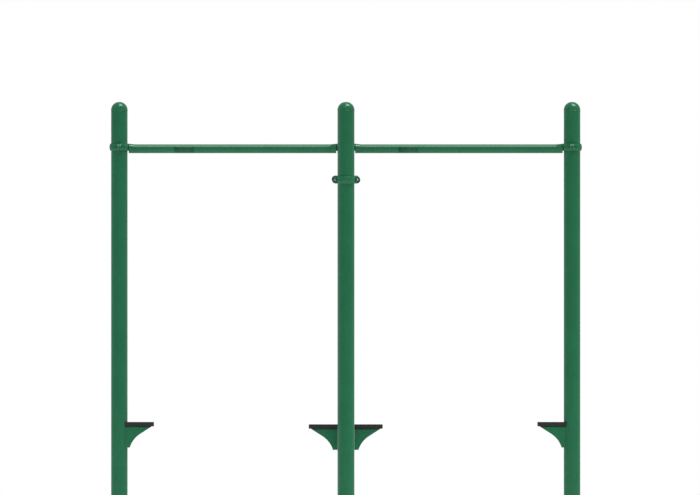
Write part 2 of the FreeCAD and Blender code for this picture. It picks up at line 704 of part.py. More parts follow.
def main():
    os.makedirs("parts", exist_ok=True)
    for pieces in (post_pieces(), bar_pieces(), clamp_pieces(), step_pieces()):
        for name, shape in pieces.items():
            shape.exportStep("parts/" + name + ".step")


main()
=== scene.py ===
"""Outdoor pull-up station in green powder coat, set up in a plain white studio."""

import logging
import math
from dataclasses import dataclass
from enum import Enum
from functools import cache
from typing import Any, Callable, Iterable, Sequence

import bmesh
import bpy
from mathutils import Matrix, Vector

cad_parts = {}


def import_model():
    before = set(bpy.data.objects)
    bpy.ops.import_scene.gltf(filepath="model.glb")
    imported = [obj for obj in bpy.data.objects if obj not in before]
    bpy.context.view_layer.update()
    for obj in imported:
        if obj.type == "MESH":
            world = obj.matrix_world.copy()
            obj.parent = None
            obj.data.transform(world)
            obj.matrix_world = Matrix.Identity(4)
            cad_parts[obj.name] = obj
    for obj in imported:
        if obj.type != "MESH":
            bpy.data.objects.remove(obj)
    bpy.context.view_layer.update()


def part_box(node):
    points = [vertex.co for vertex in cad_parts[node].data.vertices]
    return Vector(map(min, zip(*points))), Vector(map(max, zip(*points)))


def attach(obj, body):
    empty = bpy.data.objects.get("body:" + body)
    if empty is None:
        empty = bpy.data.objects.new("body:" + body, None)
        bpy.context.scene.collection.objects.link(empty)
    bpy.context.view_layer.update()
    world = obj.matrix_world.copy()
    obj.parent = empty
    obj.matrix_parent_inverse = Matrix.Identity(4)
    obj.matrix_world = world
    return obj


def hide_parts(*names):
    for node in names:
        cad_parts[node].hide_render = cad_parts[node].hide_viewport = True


LOG = logging.getLogger("pull_up_station")
ROOT = "root"
MM = 0.001
Z_AXIS = Vector((0, 0, 1))
FULL_TURN = 2 * math.pi
QUARTER_TURN = math.pi / 2
BOTH_WAYS = (-1, 1)
SHARP_ANGLE = math.radians(40)
MERGE = 1e-7
CUT_MERGE = 1e-6
DRILL_SIDES = 24
EDGE_SAMPLES = 4
WHITE = (1.0, 1.0, 1.0, 1.0)

Colour = tuple[float, float, float]


class Facing(Enum):
    """The way a piece faces, as a turn about Z from +X."""

    RIGHT = 0.0
    BACK = QUARTER_TURN
    LEFT = math.pi
    FRONT = -QUARTER_TURN

    def turn(self) -> Matrix:
        """Rotation about Z that brings +X to this way."""
        return Matrix.Rotation(self.value, 4, "Z")


class Axis(Enum):
    """Axes of the studio, as the camera sees them."""

    ACROSS = "X"
    AWAY = "Y"
    UP = "Z"


class Graph:
    """A node tree that is cleared and wired anew."""

    def __init__(self, tree: bpy.types.NodeTree) -> None:
        """Clears the tree.

        Args:
            tree: node tree of a material or a world.
        """
        self.tree = tree
        self.tree.nodes.clear()

    def node(self, kind: str, inputs: dict[Any, Any] | None = None, **settings: Any) -> bpy.types.Node:
        """Adds a node.

        Args:
            kind: Blender's name of the node type, without its ShaderNode prefix.
            inputs: socket name or number to a value, or to an output socket that feeds it.
            settings: properties of the node itself.

        Returns:
            The new node.
        """
        node = self.tree.nodes.new("ShaderNode" + kind)
        for name, value in settings.items():
            setattr(node, name, value)
        for name, value in (inputs or {}).items():
            if isinstance(value, bpy.types.NodeSocket):
                self.tree.links.new(value, node.inputs[name])
            else:
                node.inputs[name].default_value = value
        return node

    def place(self) -> bpy.types.NodeSocket:
        """Coordinates of a point on the piece, in metres."""
        return self.node("TexCoord").outputs["Object"]

    def normal(self) -> bpy.types.NodeSocket:
        """Normals of the surface as it is modelled."""
        return self.node("NewGeometry").outputs["Normal"]

    def soft_edge(self, radius: float) -> bpy.types.NodeSocket:
        """Normals of the surface with its edges rounded to a radius in metres."""
        return self.node("Bevel", {"Radius": radius}, samples=EDGE_SAMPLES).outputs["Normal"]

    def noise(self, place: bpy.types.NodeSocket, size: float, detail: float = 2.0) -> bpy.types.NodeSocket:
        """Adds a noise pattern.

        Args:
            place: coordinates that it reads.
            size: size of its patches in metres.
            detail: octaves of finer noise.

        Returns:
            The noise's value, from 0 to 1.
        """
        texture = self.node("TexNoise", {"Vector": place, "Scale": 1 / size, "Detail": detail})
        return texture.outputs["Fac"]

    def spread(self, value: bpy.types.NodeSocket, low: float, high: float,
               start: float = 0.3, end: float = 0.7) -> bpy.types.NodeSocket:
        """Maps a pattern's values smoothly to a range.

        Args:
            value: pattern to map.
            low: result at start and below.
            high: result at end and above.
            start: pattern value where the range starts.
            end: pattern value where the range ends.

        Returns:
            The mapped value.
        """
        mapped = self.node(
            "MapRange",
            {"Value": value, "From Min": start, "From Max": end, "To Min": low, "To Max": high},
            interpolation_type="SMOOTHSTEP",
        )
        return mapped.outputs["Result"]

    def blend(self, factor: bpy.types.NodeSocket, first: Any, second: Any) -> bpy.types.NodeSocket:
        """Mixes two colours.

        Args:
            factor: share of the second colour.
            first: colour or colour socket.
            second: colour or colour socket.

        Returns:
            The mixed colour.
        """
        mix = self.node("Mix", data_type="RGBA")
        self.tree.links.new(factor, mix.inputs[0])
        for socket, colour in ((mix.inputs[6], first), (mix.inputs[7], second)):
            if isinstance(colour, bpy.types.NodeSocket):
                self.tree.links.new(colour, socket)
            else:
                socket.default_value = (*colour, 1.0)
        return mix.outputs[2]

    def math(self, operation: str, first: Any, second: Any) -> bpy.types.NodeSocket:
        """Adds a sum on numbers or sockets.

        Args:
            operation: Blender's name of the operation.
            first: number or socket.
            second: number or socket.

        Returns:
            The result.
        """
        return self.node("Math", {0: first, 1: second}, operation=operation).outputs[0]

    def choice(self, factor: bpy.types.NodeSocket, first: bpy.types.Node,
               second: bpy.types.Node) -> bpy.types.Node:
        """Mixes two shaders.

        Args:
            factor: share of the second shader.
            first: shader node.
            second: shader node.

        Returns:
            The node that mixes them.
        """
        return self.node("MixShader", {0: factor, 1: first.outputs[0], 2: second.outputs[0]})


def new_material(name: str) -> tuple[bpy.types.Material, Graph]:
    """Makes an empty node material.

    Args:
        name: its name.

    Returns:
        The material and its cleared graph.
    """
    material = bpy.data.materials.new(name)
    material.use_nodes = True
    return material, Graph(material.node_tree)


@dataclass(frozen=True)
class PowderCoat:
    """Glossy powder coat with a fine orange peel, cloudy tone and slightly paler edges."""

    name: str
    colour: Colour
    shade: Colour
    edge_colour: Colour
    gloss: float = 0.1
    dull: float = 0.16
    reflection: float = 0.5
    cloud_size: float = 0.12
    haze_size: float = 0.03
    peel_size: float = 0.0025
    peel_height: float = 0.00003
    scuff_size: float = 0.006
    edge_radius: float = 0.0012
    edge_wear: float = 0.5
    edge_worn_at: float = 0.72
    edge_whole_at: float = 0.97

    @cache
    def material(self) -> bpy.types.Material:
        """Makes the finish's material, once.

        Returns:
            The material.
        """
        material, graph = new_material(self.name)
        place = graph.place()
        clouds = graph.noise(place, self.cloud_size, detail=3.0)
        tone = graph.blend(graph.spread(clouds, 0.0, 1.0), self.shade, self.colour)
        soft_edge = graph.soft_edge(self.edge_radius)
        flat = graph.normal()
        turn = graph.node("VectorMath", {0: soft_edge, 1: flat}, operation="DOT_PRODUCT").outputs["Value"]
        scuffs = graph.noise(place, self.scuff_size, detail=4.0)
        wear = graph.spread(turn, self.edge_wear, 0.0, self.edge_worn_at, self.edge_whole_at)
        tone = graph.blend(graph.math("MULTIPLY", wear, scuffs), tone, self.edge_colour)
        peel = graph.noise(place, self.peel_size, detail=1.0)
        bump = graph.node(
            "Bump", {"Height": peel, "Distance": self.peel_height, "Strength": 1.0, "Normal": soft_edge}
        )
        haze = graph.noise(place, self.haze_size)
        surface = graph.node("BsdfPrincipled", {
            "Base Color": tone,
            "Roughness": graph.spread(haze, self.gloss, self.dull),
            "Specular IOR Level": self.reflection,
            "Normal": bump.outputs["Normal"],
        })
        graph.node("OutputMaterial", {"Surface": surface.outputs["BSDF"]})
        return material


@dataclass(frozen=True)
class MouldedRubber:
    """Matt black rubber with a fine moulded grain and some pale dust on its upper faces."""

    name: str
    colour: Colour
    dust: Colour
    roughness: float = 0.6
    dusty_roughness: float = 0.78
    reflection: float = 0.35
    grain_size: float = 0.0011
    grain_height: float = 0.00006
    grain_strength: float = 0.7
    edge_radius: float = 0.0008
    patch_size: float = 0.02
    patch_from: float = 0.42
    patch_to: float = 0.75
    most_dust: float = 0.5
    level_from: float = 0.5
    level_to: float = 0.9

    @cache
    def material(self) -> bpy.types.Material:
        """Makes the finish's material, once.

        Returns:
            The material.
        """
        material, graph = new_material(self.name)
        place = graph.place()
        up = graph.node("SeparateXYZ", {"Vector": graph.normal()}).outputs["Z"]
        cloud = graph.noise(place, self.patch_size, detail=5.0)
        patches = graph.spread(cloud, 0.0, self.most_dust, self.patch_from, self.patch_to)
        level = graph.spread(up, 0.0, 1.0, self.level_from, self.level_to)
        tone = graph.blend(graph.math("MULTIPLY", level, patches), self.colour, self.dust)
        grain = graph.noise(place, self.grain_size)
        bump = graph.node("Bump", {
            "Height": grain,
            "Distance": self.grain_height,
            "Strength": self.grain_strength,
            "Normal": graph.soft_edge(self.edge_radius),
        })
        surface = graph.node("BsdfPrincipled", {
            "Base Color": tone,
            "Roughness": graph.spread(patches, self.roughness, self.dusty_roughness, 0.0, self.most_dust),
            "Specular IOR Level": self.reflection,
            "Normal": bump.outputs["Normal"],
        })
        graph.node("OutputMaterial", {"Surface": surface.outputs["BSDF"]})
        return material


@dataclass(frozen=True)
class ZincPlate:
    """Zinc-plated steel with spangled tone and fine scratches."""

    name: str
    colour: Colour
    stain: Colour
    metal: float = 0.7
    polished: float = 0.36
    dulled: float = 0.52
    spangle_size: float = 0.004
    scratch_size: float = 0.0005
    scratch_depth: float = 0.00002
    scratch_strength: float = 0.6
    edge_radius: float = 0.0005

    @cache
    def material(self) -> bpy.types.Material:
        """Makes the finish's material, once.

        Returns:
            The material.
        """
        material, graph = new_material(self.name)
        place = graph.place()
        spangle = graph.spread(graph.noise(place, self.spangle_size, detail=3.0), 0.0, 1.0)
        tone = graph.blend(spangle, self.colour, self.stain)
        scratches = graph.noise(place, self.scratch_size, detail=3.0)
        bump = graph.node("Bump", {
            "Height": scratches,
            "Distance": self.scratch_depth,
            "Strength": self.scratch_strength,
            "Normal": graph.soft_edge(self.edge_radius),
        })
        surface = graph.node("BsdfPrincipled", {
            "Base Color": tone,
            "Metallic": self.metal,
            "Roughness": graph.spread(spangle, self.polished, self.dulled, 0.0, 1.0),
            "Normal": bump.outputs["Normal"],
        })
        graph.node("OutputMaterial", {"Surface": surface.outputs["BSDF"]})
        return material


@dataclass(frozen=True)
class BlankFilm:
    """Plain dark vinyl film with a faint ripple where it is stretched round the bar."""

    name: str
    colour: Colour
    shade: Colour
    gloss: float = 0.2
    dull: float = 0.3
    reflection: float = 0.4
    cloud_size: float = 0.018
    ripple_size: float = 0.009
    ripple_height: float = 0.00004
    ripple_strength: float = 0.5

    @cache
    def material(self) -> bpy.types.Material:
        """Makes the finish's material, once.

        Returns:
            The material.
        """
        material, graph = new_material(self.name)
        place = graph.place()
        cloud = graph.spread(graph.noise(place, self.cloud_size, detail=3.0), 0.0, 1.0)
        ripple = graph.noise(place, self.ripple_size, detail=1.0)
        bump = graph.node(
            "Bump", {"Height": ripple, "Distance": self.ripple_height, "Strength": self.ripple_strength}
        )
        surface = graph.node("BsdfPrincipled", {
            "Base Color": graph.blend(cloud, self.shade, self.colour),
            "Roughness": graph.spread(cloud, self.gloss, self.dull, 0.0, 1.0),
            "Specular IOR Level": self.reflection,
            "Normal": bump.outputs["Normal"],
        })
        graph.node("OutputMaterial", {"Surface": surface.outputs["BSDF"]})
        return material


Finish = PowderCoat | MouldedRubber | ZincPlate | BlankFilm

GREEN = PowderCoat("green_powder_coat", (0.0187, 0.16, 0.0735), (0.0172, 0.149, 0.0685), (0.034, 0.2, 0.1))
BLACK_RUBBER = MouldedRubber("black_rubber", (0.026, 0.027, 0.026), (0.075, 0.073, 0.068))
ZINC = ZincPlate("zinc_plate", (0.6, 0.61, 0.61), (0.47, 0.48, 0.49))
DARK_FILM = BlankFilm("dark_film", (0.0148, 0.122, 0.0565), (0.0128, 0.1, 0.0468))


class Shape:
    """A mesh in the making, modelled about the origin and then set in its place."""

    def __init__(self) -> None:
        """Starts with an empty mesh."""
        self.mesh = bmesh.new()

    def lathe(self, profile: Sequence[tuple[float, float]], steps: int) -> "Shape":
        """Spins a closed profile about Z.

        Args:
            profile: corners as radius and height.
            steps: faces round the turn.

        Returns:
            This shape.
        """
        corners = [self.mesh.verts.new((radius, 0, height)) for radius, height in profile]
        pairs = zip(corners, corners[1:] + corners[:1])
        edges = [self.mesh.edges.new(pair) for pair in pairs]
        bmesh.ops.spin(
            self.mesh, geom=corners + edges, cent=(0, 0, 0), axis=Z_AXIS, dvec=(0, 0, 0),
            angle=FULL_TURN, steps=steps, use_merge=True,
        )
        return self.closed()

    def rod(self, radius: float, sides: int, length: float, steps: int) -> "Shape":
        """Draws a round rod up from the ground in even steps.

        Args:
            radius: its radius.
            sides: faces round it.
            length: its height.
            steps: stretches along it.

        Returns:
            This shape.
        """
        ring = bmesh.ops.create_circle(self.mesh, segments=sides, radius=radius, cap_ends=False)
        edges = list(dict.fromkeys(edge for vert in ring["verts"] for edge in vert.link_edges))
        bmesh.ops.spin(
            self.mesh, geom=ring["verts"] + edges, cent=(0, 0, 0), axis=Z_AXIS,
            dvec=(0, 0, length / steps), angle=0, steps=steps,
        )
        bmesh.ops.holes_fill(self.mesh, edges=self.mesh.edges, sides=sides)
        return self.closed()

    def closed(self) -> "Shape":
        """Merges doubles and turns all faces outwards.

        Returns:
            This shape.
        """
        bmesh.ops.remove_doubles(self.mesh, verts=self.mesh.verts, dist=MERGE)
        bmesh.ops.recalc_face_normals(self.mesh, faces=self.mesh.faces)
        return self

    def softened(self, width: float, segments: int = 2, sharper_than: float = 0.6) -> "Shape":
        """Rounds the sharp edges.

        Args:
            width: size of the rounding.
            segments: faces across it.
            sharper_than: least angle between two faces, in radians.

        Returns:
            This shape.
        """
        edges = [edge for edge in self.mesh.edges if edge.calc_face_angle(0.0) > sharper_than]
        bmesh.ops.bevel(
            self.mesh, geom=edges, offset=width, offset_type="OFFSET", segments=segments,
            profile=0.5, affect="EDGES", material=-1, clamp_overlap=True,
        )
        return self

    def ringed(self, *heights: float) -> "Shape":
        """Cuts edge rings across Z, so that the end edges don't bend the shading of a long wall.

        Args:
            heights: where the rings lie.

        Returns:
            This shape.
        """
        for height in heights:
            whole = [*self.mesh.verts, *self.mesh.edges, *self.mesh.faces]
            middle = (0, 0, height)
            bmesh.ops.bisect_plane(self.mesh, geom=whole, dist=MERGE, plane_co=middle, plane_no=Z_AXIS)
        return self

    def worked(self, move: Callable[[Vector], Vector]) -> "Shape":
        """Moves every vertex.

        Args:
            move: gives a vertex's new place from its old one.

        Returns:
            This shape.
        """
        for vert in self.mesh.verts:
            vert.co = move(vert.co)
        return self

    def set_at(self, place: Matrix) -> "Shape":
        """Sets the whole shape in its place, and returns it."""
        bmesh.ops.transform(self.mesh, matrix=place, verts=self.mesh.verts)
        return self

    def joined(self, other: "Shape") -> "Shape":
        """Takes in another shape, which ends with this.

        Args:
            other: shape to add.

        Returns:
            This shape.
        """
        passing = bpy.data.meshes.new("passing")
        other.mesh.to_mesh(passing)
        other.mesh.free()
        self.mesh.from_mesh(passing)
        bpy.data.meshes.remove(passing)
        return self

    def to_object(self, name: str) -> bpy.types.Object:
        """Ends the shape as a smooth-shaded object.

        Args:
            name: name of the object.

        Returns:
            The object, linked to the scene.
        """
        data = bpy.data.meshes.new(name)
        self.mesh.to_mesh(data)
        self.mesh.free()
        data.shade_smooth()
        data.set_sharp_from_angle(angle=SHARP_ANGLE)
        piece = bpy.data.objects.new(name, data)
        bpy.context.scene.collection.objects.link(piece)
        return piece


def drilled(piece: bpy.types.Object, drill: bpy.types.Object) -> bpy.types.Object:
    """Cuts one object out of another.

    Args:
        piece: object that is cut.
        drill: object that is cut away, and removed.

    Returns:
        The cut piece.
    """
    cut = piece.modifiers.new("drilled", "BOOLEAN")
    cut.operation = "DIFFERENCE"
    cut.solver = "EXACT"
    cut.object = drill
    bpy.context.view_layer.update()
    evaluated = piece.evaluated_get(bpy.context.evaluated_depsgraph_get())
    whole = piece.data
    piece.data = bpy.data.meshes.new_from_object(evaluated)
    piece.modifiers.clear()
    name = whole.name
    bpy.data.meshes.remove(whole)
    piece.data.name = name
    clean = bmesh.new()
    clean.from_mesh(piece.data)
    bmesh.ops.remove_doubles(clean, verts=clean.verts, dist=CUT_MERGE)
    bmesh.ops.dissolve_degenerate(clean, edges=clean.edges, dist=CUT_MERGE)
    clean.to_mesh(piece.data)
    clean.free()
    piece.data.set_sharp_from_angle(angle=SHARP_ANGLE)
    bpy.data.objects.remove(drill)
    return piece


def rods_at(places: Iterable[Matrix], radius: float, length: float) -> Shape:
    """Rods that cut round holes.

    Args:
        places: where each rod starts, along its own Z.
        radius: radius of the holes.
        length: length of the rods.

    Returns:
        All the rods in one shape.
    """
    rods = Shape()
    for place in places:
        rods.joined(Shape().rod(radius, DRILL_SIDES, length, 1).set_at(place))
    return rods


def installed(piece: bpy.types.Object, finish: Finish, nodes: Iterable[str] = ()) -> bpy.types.Object:
    """Gives a new piece its finish and hangs it on the station.

    Args:
        piece: the finished object.
        finish: its finish.
        nodes: solids that it stands for.

    Returns:
        The piece.
    """
    piece.data.materials.append(finish.material())
    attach(piece, ROOT)
    if nodes:
        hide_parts(*nodes)
    LOG.info("made %s", piece.name)
    return piece


def dress(node: str, finish: Finish) -> None:
    """Gives a solid its finish.

    Args:
        node: name of the solid.
        finish: finish for all its surfaces.
    """
    solid = bpy.data.objects[node]
    solid.data.materials.clear()
    solid.data.materials.append(finish.material())
    LOG.info("dressed %s", node)


def axis_of(node: str) -> Vector:
    """Middle of a node's box."""
    low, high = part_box(node)
    return (low + high) / 2


def size_of(node: str) -> Vector:
    """Size of a node's box."""
    low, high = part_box(node)
    return high - low


@dataclass
class Post:
    """A tube post with its drilled holes, and the weld round its foot on the base plate."""

    name: str
    wall: float = 3.2 * MM
    mill_edge: float = 1.4 * MM
    end_ring: float = 2.0 * MM
    facets: int = 112
    weld_sunk: float = 0.3 * MM
    weld_ripple: float = 0.1
    weld_pitch: float = 4.0 * MM
    weld_faces: int = 5
    steps_per_ripple: int = 5
    rivet_hole: float = 2.5 * MM
    rivet_below_rim: float = 16.0 * MM
    sleeve_hole: float = 5.1 * MM
    sleeve_hole_inset: float = 26.0 * MM
    hole_ring: float = 8.0 * MM

    @property
    def node(self) -> str:
        """Name of the post's solid."""
        return "post_" + self.name

    @property
    def weld_node(self) -> str:
        """Name of the weld's solid."""
        return "foot_weld_" + self.name

    def build(self) -> None:
        """Makes the tube and its weld."""
        low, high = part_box(self.node)
        middle = axis_of("base_plate_" + self.name)
        radius = size_of(self.node).x / 2
        place = Matrix.Translation((middle.x, middle.y, 0))
        bore = radius - self.wall
        tube = Shape().lathe([(radius, low.z), (radius, high.z), (bore, high.z), (bore, low.z)], self.facets)
        tube.softened(self.mill_edge)
        tube.ringed(low.z + self.end_ring, high.z - self.end_ring)
        drills = Shape()
        for height, hole in self.holes(high.z):
            tube.ringed(height - self.hole_ring, height + self.hole_ring)
            backwards = Matrix.Translation((0, 0, height)) @ Matrix.Rotation(-QUARTER_TURN, 4, "X")
            drills.joined(rods_at([backwards], hole, 2 * radius))
        post = tube.set_at(place).to_object("post_tube_" + self.name)
        drill = drills.set_at(place).to_object("drill")
        installed(drilled(post, drill), GREEN, [self.node])
        bead = self.weld(radius).set_at(place)
        installed(bead.to_object("foot_bead_" + self.name), GREEN, [self.weld_node])

    def holes(self, rim: float) -> list[tuple[float, float]]:
        """Holes in the back of the tube, for the cap's rivet and on the hub for the sleeve's bolts.

        Args:
            rim: height of the tube's top.

        Returns:
            Height and radius of each hole.
        """
        holes = [(rim - self.rivet_below_rim, self.rivet_hole)]
        if self.name == "hub":
            low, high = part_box("hub_step_sleeve")
            for height in (low.z + self.sleeve_hole_inset, high.z - self.sleeve_hole_inset):
                holes.append((height, self.sleeve_hole))
        return holes

    def weld(self, radius: float) -> Shape:
        """Round weld bead with ripples along the run.

        Args:
            radius: radius of the post.

        Returns:
            The bead, about the origin.
        """
        low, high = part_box(self.weld_node)
        leg = high.z - low.z
        inside = radius - self.weld_sunk
        under = low.z - self.weld_sunk
        ripples = round(FULL_TURN * radius / self.weld_pitch)
        turns = [QUARTER_TURN * face / self.weld_faces for face in range(self.weld_faces + 1)]
        profile = [(inside, under), (radius + leg, under)]
        profile += [(radius + leg * math.cos(turn), low.z + leg * math.sin(turn)) for turn in turns]
        profile.append((inside, high.z))

        def rippled(point: Vector) -> Vector:
            """Swells the bead's section in waves round the post.

            Args:
                point: place on the smooth bead.

            Returns:
                Its place on the rippled bead.
            """
            out = math.hypot(point.x, point.y) - inside
            wave = 1 + self.weld_ripple * math.sin(ripples * math.atan2(point.y, point.x))
            along = Vector((point.x, point.y, 0)).normalized()
            return along * (inside + out * wave) + Z_AXIS * (under + (point.z - under) * wave)

        return Shape().lathe(profile, self.steps_per_ripple * ripples).worked(rippled)


@dataclass
class PullUpBar:
    """A bar tube with its screw holes underneath, and a plain film band on the bars that run sideways."""

    name: str
    facing: Facing
    wall: float = 3.2 * MM
    mill_edge: float = 0.6 * MM
    end_ring: float = 2.0 * MM
    facets: int = 80
    hole_radius: float = 4.1 * MM
    hole_inset: float = 27.8 * MM
    hole_ring: float = 8.0 * MM
    film_middle: float = 337 * MM
    film_length: float = 106 * MM
    film_thickness: float = 0.25 * MM
    film_from: float = math.radians(-74)
    film_to: float = math.radians(24)
    film_steps: int = 24
    post_to_bar: float = 82.15 * MM

    @property
    def node(self) -> str:
        """Name of the bar's solid."""
        return "pull_up_bar_" + self.name

    def build(self) -> None:
        """Makes the bar and its film."""
        low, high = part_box(self.node)
        middle = (low + high) / 2
        radius = (high.z - low.z) / 2
        length = max(high.x - low.x, high.y - low.y)
        lay = Matrix.Translation(middle) @ self.facing.turn() @ Matrix.Rotation(QUARTER_TURN, 4, "Y")
        half = length / 2
        bore = radius - self.wall
        tube = Shape().lathe([(radius, -half), (radius, half), (bore, half), (bore, -half)], self.facets)
        tube.softened(self.mill_edge)
        hole_at = half - self.hole_inset
        for end in BOTH_WAYS:
            for distance in (half - self.end_ring, hole_at + self.hole_ring, hole_at - self.hole_ring):
                tube.ringed(end * distance)
        bar = tube.set_at(lay).to_object("bar_tube_" + self.name)
        drill = self.screw_holes(hole_at, radius).set_at(lay).to_object("drill")
        installed(drilled(bar, drill), GREEN, [self.node])
        if self.facing is Facing.RIGHT:
            film = self.film(half, radius).set_at(lay).to_object("film_band_" + self.name)
            thick = film.modifiers.new("thickness", "SOLIDIFY")
            thick.thickness = self.film_thickness
            thick.offset = 1.0
            installed(film, DARK_FILM)

    def screw_holes(self, hole_at: float, radius: float) -> Shape:
        """Rods that cut the two set screw holes, for a bar along Z whose underside faces +X.

        Args:
            hole_at: distance of the holes from the bar's middle.
            radius: radius of the bar.

        Returns:
            The two rods.
        """
        downwards = Matrix.Rotation(QUARTER_TURN, 4, "Y")
        places = [Matrix.Translation((self.wall, 0, end * hole_at)) @ downwards for end in BOTH_WAYS]
        return rods_at(places, self.hole_radius, radius)

    def film(self, half: float, radius: float) -> Shape:
        """Sheet round the front of a bar along Z whose underside faces +X and front faces -Y.

        Args:
            half: half of the bar's length.
            radius: radius of the bar.

        Returns:
            The open sheet.
        """
        start = self.film_middle - self.film_length / 2 - self.post_to_bar - half
        sheet = Shape()
        ends = [sheet.mesh.verts.new((0, -radius, start + share * self.film_length)) for share in (0, 1)]
        edge = sheet.mesh.edges.new(ends)
        bmesh.ops.rotate(
            sheet.mesh, verts=ends, cent=(0, 0, 0), matrix=Matrix.Rotation(-self.film_from, 3, "Z")
        )
        bmesh.ops.spin(
            sheet.mesh, geom=[*ends, edge], cent=(0, 0, 0), axis=-Z_AXIS, dvec=(0, 0, 0),
            angle=self.film_to - self.film_from, steps=self.film_steps,
        )
        bmesh.ops.recalc_face_normals(sheet.mesh, faces=sheet.mesh.faces)
        level = Vector((1, 1, 0))
        outward = sum(face.normal.dot(face.calc_center_median() * level) for face in sheet.mesh.faces)
        if outward < 0:
            bmesh.ops.reverse_faces(sheet.mesh, faces=sheet.mesh.faces)
        return sheet


@dataclass
class FootStep:
    """A folded bracket with its tread, and the welds that hold it to its post or sleeve."""

    name: str
    post: str
    carrier: str
    facing: Facing
    weld_ripple: float = 0.12
    weld_pitch: float = 4.0 * MM
    weld_sides: int = 12
    weld_tip: float = 0.45
    steps_per_ripple: int = 5

    @property
    def bracket_node(self) -> str:
        """Name of the bracket's solid."""
        return "step_bracket_" + self.name

    @property
    def weld_node(self) -> str:
        """Name of the welds' solids."""
        return "step_welds_" + self.name

    def build(self) -> None:
        """Dresses the bracket and the tread, and makes the welds."""
        dress(self.bracket_node, GREEN)
        dress("step_tread_" + self.name, BLACK_RUBBER)
        installed(self.welds().to_object("step_beads_" + self.name), GREEN, [self.weld_node])

    def welds(self) -> Shape:
        """Weld beads along both sides of the bracket.

        Returns:
            The two beads, in their place.
        """
        size = size_of(self.bracket_node)
        weld_size = size_of(self.weld_node)
        across = min(size.x, size.y) / 2
        thick = max(weld_size.x, weld_size.y) / 2 - across
        radius = size_of(self.carrier).x / 2
        out = math.sqrt(radius ** 2 - across ** 2)
        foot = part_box(self.weld_node)[0].z
        beads = Shape()
        for side in BOTH_WAYS:
            bead = self.weld(thick, weld_size.z)
            beads.joined(bead.set_at(Matrix.Translation((out, side * across, foot))))
        middle = axis_of("base_plate_" + self.post)
        return beads.set_at(Matrix.Translation((middle.x, middle.y, 0)) @ self.facing.turn())

    def weld(self, thick: float, length: float) -> Shape:
        """Upright weld bead with ripples and tapered ends.

        Args:
            thick: its radius.
            length: its height.

        Returns:
            The bead, on the origin.
        """
        def rippled(point: Vector) -> Vector:
            """Swells the bead in waves along its length and draws in its ends.

            Args:
                point: place on the smooth bead.

            Returns:
                Its place on the rippled bead.
            """
            wave = 1 + self.weld_ripple * math.sin(FULL_TURN * point.z / self.weld_pitch)
            taper = min(1.0, self.weld_tip + min(point.z, length - point.z) / (2 * thick))
            return Vector((point.x * wave * taper, point.y * wave * taper, point.z))

        steps = self.steps_per_ripple * round(length / self.weld_pitch)
        return Shape().rod(thick, self.weld_sides, length, steps).worked(rippled)


@dataclass
class Hardware:
    """Solids that keep their shape and get their finish."""

    nodes: Sequence[str]
    finish: Finish

    def build(self) -> None:
        """Dresses each solid."""
        for node in self.nodes:
            dress(node, self.finish)


@dataclass(frozen=True)
class Band:
    """Light that changes smoothly along one axis of the way it comes from, which runs from -1 to 1."""

    axis: Axis
    start: float
    end: float
    before: float = 0.0
    after: float = 1.0

    def level(self, graph: Graph, way: bpy.types.NodeOutputs) -> bpy.types.NodeSocket:
        """Light in each direction.

        Args:
            graph: graph of the world.
            way: parts of the direction along the three axes.

        Returns:
            The level of light.
        """
        return graph.spread(way[self.axis.value], self.before, self.after, self.start, self.end)


